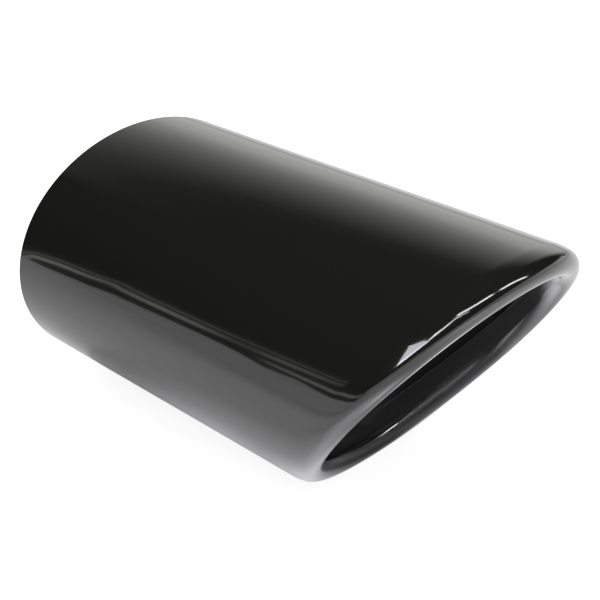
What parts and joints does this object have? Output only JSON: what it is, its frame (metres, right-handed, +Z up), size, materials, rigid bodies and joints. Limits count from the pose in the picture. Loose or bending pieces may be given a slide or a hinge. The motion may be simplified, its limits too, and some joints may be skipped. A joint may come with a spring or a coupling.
{
  "type": "exhaust tip",
  "caption": "Oval slash-cut exhaust tip: a straight gloss-black sheet sleeve, open at both ends, with its mouth edge rolled inwards.",
  "frame": {"origin": "centre of the square-cut inlet end, on the sleeve's centre line", "axes": "+X along the sleeve from the inlet towards the mouth, +Y across the oval's long axis, +Z up, on the side where the slash cut overhangs"},
  "size_m": [0.1497, 0.1, 0.078],
  "materials": {
    "gloss_black_coat": "high-gloss black coating over sheet steel"
  },
  "bodies": {
    "root": {"tip_shell": "gloss_black_coat"}
  },
  "joints": []
}
